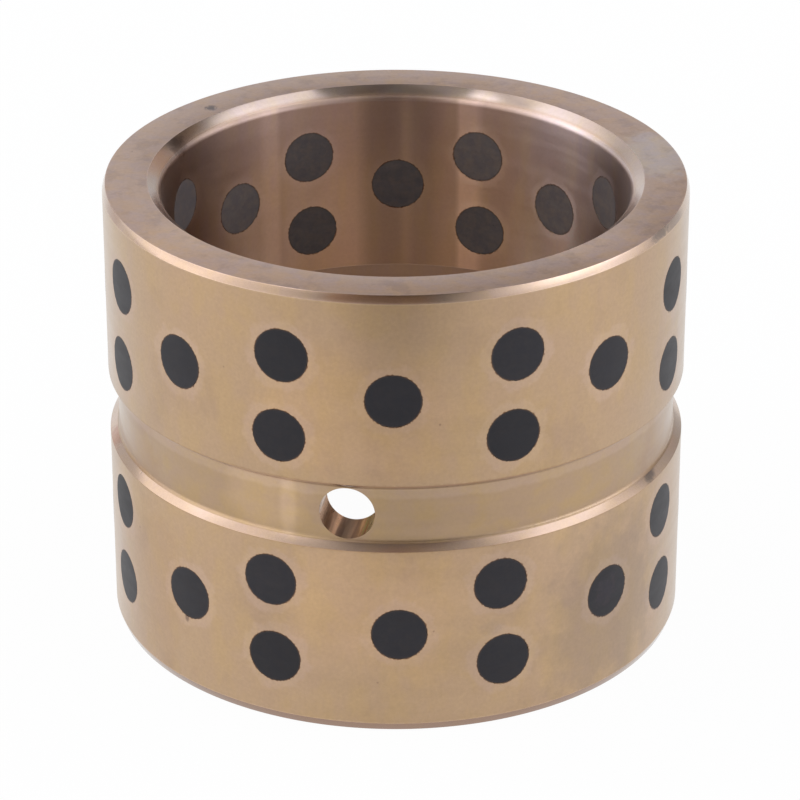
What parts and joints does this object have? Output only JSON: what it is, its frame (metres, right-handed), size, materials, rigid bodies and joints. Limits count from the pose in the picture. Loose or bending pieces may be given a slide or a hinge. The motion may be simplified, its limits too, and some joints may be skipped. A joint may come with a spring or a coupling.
{
  "type": "graphite plugged bushing",
  "caption": "Turned bronze sleeve bearing with solid graphite plugs set flush through its wall in staggered rows, an oil groove round the middle and one oil hole.",
  "frame": {"origin": "centre of the lower end face, which the bushing stands on", "axes": "+Z along the bore's axis, up; the oil hole is near the front, towards -Y"},
  "size_m": [0.1, 0.1, 0.08],
  "materials": {
    "bronze": "fine turned, satin",
    "graphite": "matt, fine grained"
  },
  "bodies": {
    "root": {"bronze_ring": "bronze", "graphite_plug_upper_outer_1": "graphite", "graphite_plug_upper_outer_2": "graphite", "graphite_plug_upper_outer_3": "graphite", "graphite_plug_upper_outer_4": "graphite", "graphite_plug_upper_outer_5": "graphite", "graphite_plug_upper_outer_6": "graphite", "graphite_plug_upper_outer_7": "graphite", "graphite_plug_upper_outer_8": "graphite", "graphite_plug_upper_middle_1": "graphite", "graphite_plug_upper_middle_2": "graphite", "graphite_plug_upper_middle_3": "graphite", "graphite_plug_upper_middle_4": "graphite", "graphite_plug_upper_middle_5": "graphite", "graphite_plug_upper_middle_6": "graphite", "graphite_plug_upper_middle_7": "graphite", "graphite_plug_upper_middle_8": "graphite", "graphite_plug_upper_inner_1": "graphite", "graphite_plug_upper_inner_2": "graphite", "graphite_plug_upper_inner_3": "graphite", "graphite_plug_upper_inner_4": "graphite", "graphite_plug_upper_inner_5": "graphite", "graphite_plug_upper_inner_6": "graphite", "graphite_plug_upper_inner_7": "graphite", "graphite_plug_upper_inner_8": "graphite", "graphite_plug_lower_outer_1": "graphite", "graphite_plug_lower_outer_2": "graphite", "graphite_plug_lower_outer_3": "graphite", "graphite_plug_lower_outer_4": "graphite", "graphite_plug_lower_outer_5": "graphite", "graphite_plug_lower_outer_6": "graphite", "graphite_plug_lower_outer_7": "graphite", "graphite_plug_lower_outer_8": "graphite", "graphite_plug_lower_middle_1": "graphite", "graphite_plug_lower_middle_2": "graphite", "graphite_plug_lower_middle_3": "graphite", "graphite_plug_lower_middle_4": "graphite", "graphite_plug_lower_middle_5": "graphite", "graphite_plug_lower_middle_6": "graphite", "graphite_plug_lower_middle_7": "graphite", "graphite_plug_lower_middle_8": "graphite", "graphite_plug_lower_inner_1": "graphite", "graphite_plug_lower_inner_2": "graphite", "graphite_plug_lower_inner_3": "graphite", "graphite_plug_lower_inner_4": "graphite", "graphite_plug_lower_inner_5": "graphite", "graphite_plug_lower_inner_6": "graphite", "graphite_plug_lower_inner_7": "graphite", "graphite_plug_lower_inner_8": "graphite"}
  },
  "joints": []
}
